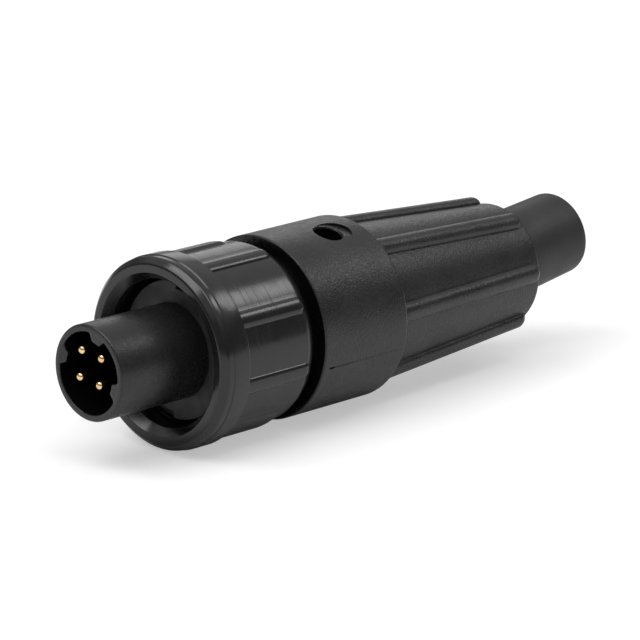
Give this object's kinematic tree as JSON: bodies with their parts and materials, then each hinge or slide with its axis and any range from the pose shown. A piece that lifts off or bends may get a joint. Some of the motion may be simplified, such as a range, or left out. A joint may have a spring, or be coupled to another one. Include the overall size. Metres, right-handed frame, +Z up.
{
  "type": "circular cord connector",
  "caption": "Round weathertight cord connector with a keyed pin shroud, threaded coupling ring, body sleeve, ribbed gland nut and rubber strain relief.",
  "frame": {"origin": "centre of the mating face, on the rim plane of the shroud", "axes": "+Y along the connector's axis from the mating face to the cord, +Z up as it lies, +X to the side"},
  "size_m": [0.0222, 0.0779, 0.0222],
  "materials": {
    "shell_plastic": "fine-grained moulded black plastic",
    "ring_plastic": "polished moulded black plastic",
    "insert_plastic": "dark moulded insulator",
    "boot_rubber": "matt black rubber",
    "seal_rubber": "soft black rubber",
    "contact_gold": "gold-plated, bright",
    "spring_steel": "bare spring steel",
    "screw_steel": "black-oxide steel",
    "clamp_plastic": "natural nylon"
  },
  "bodies": {
    "shell": {"plug_shell": "shell_plastic", "contact_insert": "insert_plastic", "contact_pin_1": "contact_gold", "contact_pin_2": "contact_gold", "contact_pin_3": "contact_gold", "contact_pin_4": "contact_gold", "insert_seal": "seal_rubber", "insert_retainer": "insert_plastic", "mating_gasket": "seal_rubber", "slip_washer": "clamp_plastic", "spring_washer": "spring_steel", "body_sleeve": "shell_plastic", "body_seal": "seal_rubber", "set_screw": "screw_steel"},
    "ring": {"coupling_ring": "ring_plastic"},
    "gland": {"gland_grommet": "seal_rubber", "gland_clamp": "clamp_plastic", "clamp_cone": "clamp_plastic", "thrust_washer": "clamp_plastic", "strain_relief": "boot_rubber"},
    "nut": {"grip_nut": "shell_plastic"}
  },
  "joints": [
    {"name": "coupling_ring_turn", "type": "hinge", "parent": "shell", "child": "ring", "pos_m": [0, 0.021, 0], "axis": [0, 1, 0], "continuous": true},
    {"name": "gland_slide", "type": "slide", "parent": "shell", "child": "gland", "axis": [0, 1, 0], "range_m": [0, 0.0045]},
    {"name": "grip_nut_turn", "type": "hinge", "parent": "gland", "child": "nut", "pos_m": [0, 0.05, 0], "axis": [0, 1, 0], "range_deg": [0, 1080]}
  ],
  "couplings": [
    {"joint": "grip_nut_turn", "follows": "gland_slide", "rad_per_m": 4188.8}
  ]
}
